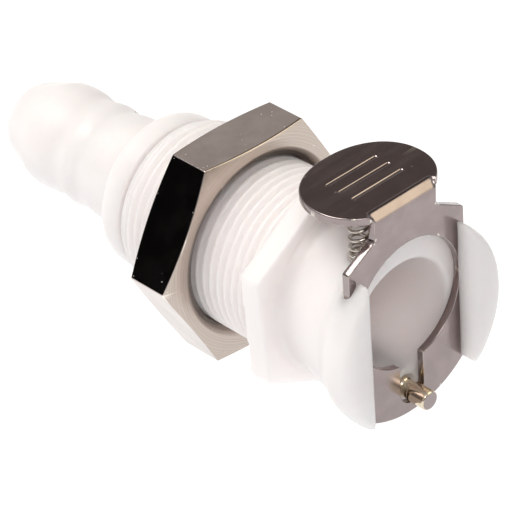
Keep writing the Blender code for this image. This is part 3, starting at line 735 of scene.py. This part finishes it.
# %% Put the nut together
front_rows = nut_face(NUT_FRONT, 1.0)
rear_rows = nut_face(NUT_REAR, -1.0)
section = np.concatenate([bore_rows[::-1], front_rows, rear_rows[::-1]])
turn = a + NUT_TURN
nut_grid = np.stack([section[..., 1] * np.sin(turn), section[..., 0],
                     section[..., 1] * np.cos(turn)], -1)
nut = skin("panel_nut_detail", nut_grid, along=True)
finish_piece(nut, "nut", ["panel_nut"], nickel)

# %% [markdown]
# The latch plate is made as the real one is: a flat blank is cut out, its edges break
# over, and then the blank is bent. Blender's flat curves give the blank with its hole. The
# blank is sliced where it will bend, and a formula bends every point at once.

# %% Outline of the flat blank
BEND_OUTER = 1.35
bend_y = PLATE_FRONT + BEND_OUTER
bend_z = plate_high[2] - BEND_OUTER
BEND_MID = BEND_OUTER - 0.5 * THICK
bend_length = 0.5 * np.pi * BEND_MID
TAB_HALF, TAB_LONG, TAB_MID, TAB_POWER = 7.3, 6.0, -7.6, 2.15
SIDE = plate_high[0]
NECK = 4.35
NOTCH = NECK + 0.3
FOOT_R = 11.5


def blank_level(y):
    """How far up the flat blank a point of the tab lies before bending."""
    return bend_z + bend_length + (y - bend_y)


x = np.linspace(0.0, SIDE - 0.5, 16)
foot = plate_low[2] + FOOT_R - np.sqrt(FOOT_R**2 - x**2)
right_side = [*zip(x, foot, [0.0] * len(x)), (SIDE, -7.75, 0.35), (SIDE, 10.1, 0.2),
              (NECK + 0.42, 11.95, 0.25), (NECK, 12.35, 0.25),
              (NECK, bend_z + 0.15, 0.12)]
notch_turn = np.arccos((NOTCH / TAB_HALF) ** (0.5 * TAB_POWER))
turn_tab = np.linspace(-notch_turn, np.pi / 2, 60)[:-1]
rise = np.sin(turn_tab)
tab_x = TAB_HALF * np.cos(turn_tab) ** (2 / TAB_POWER)
tab_y = TAB_MID + TAB_LONG * np.sign(rise) * np.abs(rise) ** (2 / TAB_POWER)
right_side += [(px, blank_level(py), 0.0) for px, py in zip(tab_x, tab_y)]
top_point = [(0.0, blank_level(TAB_MID + TAB_LONG), 0.0)]
left_side = [(-p[0], p[1], p[2]) for p in reversed(right_side[1:])]
blank_outline = rounded(right_side + top_point + left_side, 0.1, 4, closed=True)

# %% Outline of the hole and the pin's slot
HOLE_R, HOLE_Z, SLOT_HALF = 7.3, PRESS, 1.65
SLOT_END = PIN_Z + 0.4
hole_start = np.arcsin(SLOT_HALF / HOLE_R)
sweep_hole = np.linspace(hole_start, TURN - hole_start, 96)
hole = [(HOLE_R * np.sin(t), HOLE_Z - HOLE_R * np.cos(t), 0.0) for t in sweep_hole]
hole[0] = (*hole[0][:2], 0.22)
hole[-1] = (*hole[-1][:2], 0.22)
end_turn = np.linspace(np.pi, 0.0, 20)
slot_end = [(SLOT_HALF * np.cos(t), SLOT_END - SLOT_HALF * np.sin(t), 0.0) for t in end_turn]
hole_outline = rounded(hole + slot_end, 0.1, 4, closed=True)
print("blank:", len(blank_outline), "outline points,", len(hole_outline), "round the hole")

# %% Cut the blank
BROKEN_EDGE = 0.13


def flat_blank(name, outlines, thick, edge):
    """Filled flat curve of several outlines, thickened, with its edges rounded over."""
    curve = bpy.data.curves.new(name, "CURVE")
    curve.dimensions, curve.fill_mode = "2D", "BOTH"
    curve.extrude, curve.bevel_depth = (0.5 * thick - edge) * MM, edge * MM
    curve.offset, curve.bevel_resolution = -edge * MM, 2
    for outline in outlines:
        line = curve.splines.new("POLY")
        line.points.add(len(outline) - 1)
        flat = np.zeros((len(outline), 4))
        flat[:, :2] = outline * MM
        flat[:, 3] = 1.0
        line.points.foreach_set("co", flat.ravel())
        line.use_cyclic_u = True
    holder = bpy.data.objects.new(name, curve)
    bpy.context.scene.collection.objects.link(holder)
    bpy.context.view_layer.update()
    ready = holder.evaluated_get(bpy.context.evaluated_depsgraph_get())
    mesh = bpy.data.meshes.new_from_object(ready)
    bpy.data.objects.remove(holder, do_unlink=True)
    return mesh


blank = flat_blank("latch_plate_detail", [blank_outline, hole_outline], THICK, BROKEN_EDGE)

# %% Slice the blank where it bends, at the grip lines and at the neck's edges
GRIP_AT = [blank_level(y) for y in (-8.9, -7.1, -5.3)]
GRIP_LONG, GRIP_HALF, GRIP_DEEP = 3.3, 0.26, 0.11
EAR_BLEND = 0.45
work = bmesh.new()
work.from_mesh(blank)
cuts = [(1, v) for v in np.linspace(bend_z, bend_z + bend_length, 15)]
for level in GRIP_AT:
    cuts += [(1, level + s) for s in np.linspace(-GRIP_HALF, GRIP_HALF, 9)]
for end in (-1, 1):
    cuts += [(0, end * (GRIP_LONG + s)) for s in np.linspace(-0.05, 0.3, 8)]
for end in (-1, 1):
    cuts += [(0, end * v) for v in np.linspace(NECK - EAR_BLEND, NECK + EAR_BLEND, 9)]
for axis, level in cuts:
    normal = Vector((1, 0, 0)) if axis == 0 else Vector((0, 1, 0))
    bmesh.ops.bisect_plane(work, geom=work.verts[:] + work.edges[:] + work.faces[:],
                           dist=1e-8, plane_co=normal * float(level) * MM, plane_no=normal)
bmesh.ops.remove_doubles(work, verts=work.verts, dist=1e-7)
work.to_mesh(blank)
work.free()
print("sliced blank:", len(blank.vertices), "points")


# %% Press the grip lines and bend the blank
def bend_blank(points):
    """Blank (x, up, depth) to the bent plate.

    Below the bend a point keeps its height. In it, the angle is b = (up - start) / middle
    radius, and the point lies at radius (outer - depth) from the bend's axis. Beyond it,
    what is left of up runs level toward +Y. The tab's ears, beside the neck, stay level,
    and the share of that level form eases in across the neck's edge.
    """
    x, up, depth = points[:, 0], points[:, 1], 0.5 * THICK - points[:, 2]
    b = np.clip((up - bend_z) / BEND_MID, 0.0, np.pi / 2)
    beyond = up - bend_z - bend_length
    r = BEND_OUTER - depth
    y = bend_y - r * np.cos(b) + np.maximum(beyond, 0.0)
    z = np.minimum(up, bend_z) + r * np.sin(b)
    ear = ease(np.abs(x), NECK - EAR_BLEND, NECK + EAR_BLEND) * (up > bend_z) * (beyond < 0.0)
    y = y + ear * (bend_y + beyond - y)
    z = z + ear * (bend_z + r - z)
    return np.stack([x, y, z], -1)


def press_grips(points):
    """Three straight grooves with rounded ends, a half ellipse in section.

    The depth is d sqrt(1 - q^2), where q is the distance from the line over half its width.
    """
    top = points[:, 2] > 0.5 * THICK - 0.01
    for level in GRIP_AT:
        past = np.maximum(np.abs(points[:, 0]) - GRIP_LONG, 0.0)
        off = np.hypot(points[:, 1] - level, past) / GRIP_HALF
        deep = GRIP_DEEP * np.sqrt(np.maximum(1.0 - off**2, 0.0))
        points[:, 2] -= np.where(top & (off < 1.0), deep, 0.0)
    return points


flat = np.empty(len(blank.vertices) * 3, np.float32)
blank.vertices.foreach_get("co", flat)
points = press_grips(flat.reshape(-1, 3).astype(float) / MM)
blank.vertices.foreach_set("co", (bend_blank(points) * MM).astype(np.float32).ravel())
latch = outward("latch_plate_detail", blank)
normals = np.empty(len(latch.data.polygons) * 3, np.float32)
latch.data.polygons.foreach_get("normal", normals)
level_faces = np.abs(normals.reshape(-1, 3)[:, 1:]).max(axis=1) > 0.99995
latch.data.polygons.foreach_set("use_smooth", ~level_faces)
finish_piece(latch, "latch", ["latch_plate"], sheet_steel)

# %% [markdown]
# A coil spring is a circle carried along a helix. The end turns lie almost flat, so the
# climb starts and ends slowly.


# %% Springs
def coil(name, centre, axis, low, high, mean_r, wire_r, turns, per_turn=36, sides=12):
    """Tube of radius w round (R cos t, R sin t, climb(t)).

    The climb is u - 0.1 sin(2 pi u) of the free length, u from 0 to 1 along the wire.
    """
    u = np.linspace(0.0, 1.0, int(turns * per_turn) + 1)[:, None]
    t, s = TURN * turns * u, (np.arange(sides) * TURN / sides)[None]
    level = low + wire_r + (high - low - 2 * wire_r) * (u - 0.1 * np.sin(TURN * u))
    taper = np.clip(np.minimum(u, 1 - u) * turns * per_turn / 2, 0.35, 1.0)
    r = mean_r + wire_r * taper * np.cos(s)
    p, q, h = r * np.cos(t), r * np.sin(t), level + wire_r * taper * np.sin(s)
    parts = (p, h, -q) if axis == "Y" else (p, q, h)
    grid = np.stack(parts, -1) + np.array(centre)
    return skin(name, grid, caps=True)


spring = coil("latch_spring_detail", (*pocket_at, 0.0), "Z", coil_low[2], coil_high[2],
              mean_r=1.0, wire_r=0.2, turns=7.0)
finish_piece(spring, "housing", ["latch_spring"], wire)
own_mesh(spring)
low, high = box_mm("detent_spring")
spring = coil("detent_spring_detail", (0.0, 0.0, PIN_Z), "Y", low[1], high[1],
              mean_r=0.78, wire_r=0.17, turns=5.0)
finish_piece(spring, "housing", ["detent_spring"], wire)
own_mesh(spring)
low, high = box_mm("valve_spring")
spring = coil("valve_spring_detail", (0.0, 0.0, 0.0), "Y", low[1], high[1],
              mean_r=4.3, wire_r=0.3, turns=4.0)
finish_piece(spring, "housing", ["valve_spring"], wire)
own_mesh(spring)

# %% [markdown]
# The detent pin is a small turned part: a rounded nose, and a shallow neck where the plate
# crosses it. The seals are plain rings of round section. The poppet inside stays as the
# CAD model has it, and only gets the acetal's finish.

# %% Pin and seals
PIN_NECK_R = PIN_R - 0.13
TINY_R = 0.02
pin_profile = rounded([
    (pin_low[1], 0.0), (pin_low[1], PIN_R - 0.16, 0.12), (pin_low[1] + 0.16, PIN_R, 0.12),
    (PLATE_FRONT - 0.12, PIN_R, 0.05), (PLATE_FRONT + 0.02, PIN_NECK_R, 0.05),
    (PLATE_BACK - 0.02, PIN_NECK_R, 0.05), (PLATE_BACK + 0.12, PIN_R, 0.05),
    (pin_high[1] - 0.15, PIN_R, 0.1), (pin_high[1], PIN_R - 0.15, 0.1), (pin_high[1], 0.0)])
pin_profile[[0, -1], 1] = TINY_R
pin = turned("detent_pin_detail", pin_profile, 64, centre=(0.0, PIN_Z))
finish_piece(pin, "pin", ["detent_pin"], pin_steel)


def seal(node, body, segments=96, sides=20):
    """Ring of round section that fills its CAD node's box: a circle turned about Y."""
    low, high = box_mm(node)
    section_r = 0.5 * (high[1] - low[1])
    mean_r = high[0] - section_r
    s = np.arange(sides) * TURN / sides
    profile = np.stack([0.5 * (low[1] + high[1]) + section_r * np.sin(s),
                        mean_r + section_r * np.cos(s)], -1)
    ring = turned(node + "_detail", profile, segments, ring=True)
    return finish_piece(ring, body, [node], rubber)


seal("adapter_oring", "housing")
seal("poppet_oring", "valve")
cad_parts["valve_poppet"].data.materials.clear()
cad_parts["valve_poppet"].data.materials.append(acetal)

# %% [markdown]
# The set is a light table: a white floor that glows, so that no hard shadow forms, a big
# soft light high up behind the barb and a smaller one in front. One dark card is seen only
# in reflections.
#
# The world is different for each kind of ray. The camera sees plain white. Matt surfaces
# are lit by a room that is bright above and dark in front of the mouth. Mirrors see a dim
# room with bright and dark patches, which lie where the faces of the metal look.


# %% Helpers for the floor and the card
def plain(name, colour, glow):
    """Matt material that also glows a little."""
    made = bpy.data.materials.new(name)
    made.use_nodes = True
    shader = made.node_tree.nodes["Principled BSDF"]
    shader.inputs["Base Color"].default_value = (*colour, 1)
    shader.inputs["Roughness"].default_value = 1.0
    shader.inputs["Specular IOR Level"].default_value = 0.0
    shader.inputs["Emission Color"].default_value = (*colour, 1)
    shader.inputs["Emission Strength"].default_value = glow
    return made


def sheet_at(name, centre, across, up, half_across, half_up, material):
    """Flat card from its centre, two directions and two half sizes, in metres."""
    c, p, q = (np.array(v, float) for v in (centre, across, up))
    corners = [c + p * i * half_across + q * j * half_up
               for i, j in ((-1, -1), (1, -1), (1, 1), (-1, 1))]
    mesh = bpy.data.meshes.new(name)
    mesh.from_pydata([tuple(v) for v in corners], [], [(0, 1, 2, 3)])
    card = bpy.data.objects.new(name, mesh)
    mesh.materials.append(material)
    bpy.context.scene.collection.objects.link(card)
    return card


# %% Floor and dark card
floor_level = cad_low[2] - 0.3 * MM
sheet_at("floor", (0, 0, floor_level), (1, 0, 0), (0, 1, 0), 2.0, 2.0,
         plain("floor_white", (0.15, 0.15, 0.15), 6.6))

LEVEL_MIRROR = (0.541, 0.617, 0.572)
CARD_FAR, CARD_SHIFT = 110.0, 11.0
mirror_way = np.array(LEVEL_MIRROR)
mirror_way /= np.linalg.norm(mirror_way)
tab_centre = np.array([0.0, TAB_MID, plate_high[2]])
to_nut = np.array([0.0, 18.9, -3.3])
card_across = to_nut - mirror_way * to_nut.dot(mirror_way)
card_across /= np.linalg.norm(card_across)
card_up = np.cross(mirror_way, card_across)
card_centre = tab_centre + mirror_way * CARD_FAR - card_across * CARD_SHIFT
card = sheet_at("dark_card", card_centre * MM, card_across, card_up, 0.025, 0.045,
                plain("card_dark", (0.09, 0.078, 0.074), 1.0))
card.visible_camera = card.visible_diffuse = card.visible_shadow = False
card.visible_transmission = False
print("card lies", CARD_FAR, "mm from the tab, the way a level face mirrors")


# %% Lights
def soft_light(name, at, toward, size, power, colour=(1, 1, 1)):
    """Square area light at a point, turned toward another."""
    lamp = bpy.data.lights.new(name, "AREA")
    lamp.size, lamp.energy, lamp.color = size, power, colour
    holder = bpy.data.objects.new(name, lamp)
    holder.location = at
    holder.rotation_euler = (Vector(toward) - Vector(at)).to_track_quat("-Z", "Y").to_euler()
    bpy.context.scene.collection.objects.link(holder)


soft_light("key", (-0.27, 0.30, 0.82), (0, 0.01, 0), 0.5, 4.2, (1.0, 0.96, 0.915))
soft_light("front_fill", (-0.34, -0.46, 0.58), (0, 0, 0), 0.35, 1.6, (1.0, 0.98, 0.97))

# %% Room
world = bpy.data.worlds.new("studio")
bpy.context.scene.world = world
world.use_nodes = True
tree = world.node_tree
tree.nodes.clear()
way = tree.nodes.new("ShaderNodeTexCoord").outputs["Generated"]


def lobe(colour, direction, tight, wide, tint):
    """Tint the room within an angle of a direction; tight and wide are cosines."""
    unit = Vector(direction).normalized()
    near = add(tree, "ShaderNodeVectorMath", {"operation": "DOT_PRODUCT"}, _0=way, _1=unit)
    share = span(tree, near.outputs["Value"], wide, tight)
    return blend_colour(tree, share, colour, (*tint, 1))


room = lobe((0.36, 0.35, 0.35, 1), (0, 0, 1), 0.85, 0.2, (0.48, 0.475, 0.47))
matt_room = lobe(room, (0.1, 0.3, 1.0), 0.95, 0.3, (0.85, 0.83, 0.79))
matt_room = lobe(matt_room, (0.1, -1.0, 0.15), 0.80, 0.1, (0.05, 0.045, 0.045))
room = lobe(room, (0.541, 0.25, 0.80), 0.975, 0.93, (0.10, 0.09, 0.085))
room = lobe(room, (0.54, -0.75, 0.35), 0.98, 0.90, (2.3, 2.1, 1.6))
room = lobe(room, (0.53, -0.40, 0.75), 0.97, 0.93, (2.3, 2.1, 1.6))
room = lobe(room, LEVEL_MIRROR, 0.96, 0.86, (0.46, 0.43, 0.41))
room = lobe(room, (-0.766, 0.617, 0.182), 0.955, 0.92, (0.004, 0.004, 0.004))
path = tree.nodes.new("ShaderNodeLightPath")
lit = blend_colour(tree, path.outputs["Is Glossy Ray"], matt_room, room)
shown = blend_colour(tree, path.outputs["Is Camera Ray"], lit, (1.0, 1.0, 1.0, 1))
back = add(tree, "ShaderNodeBackground", Color=shown, Strength=1.0)
out = tree.nodes.new("ShaderNodeOutputWorld")
tree.links.new(back.outputs[0], out.inputs["Surface"])
bpy.context.scene.view_settings.view_transform = "Standard"
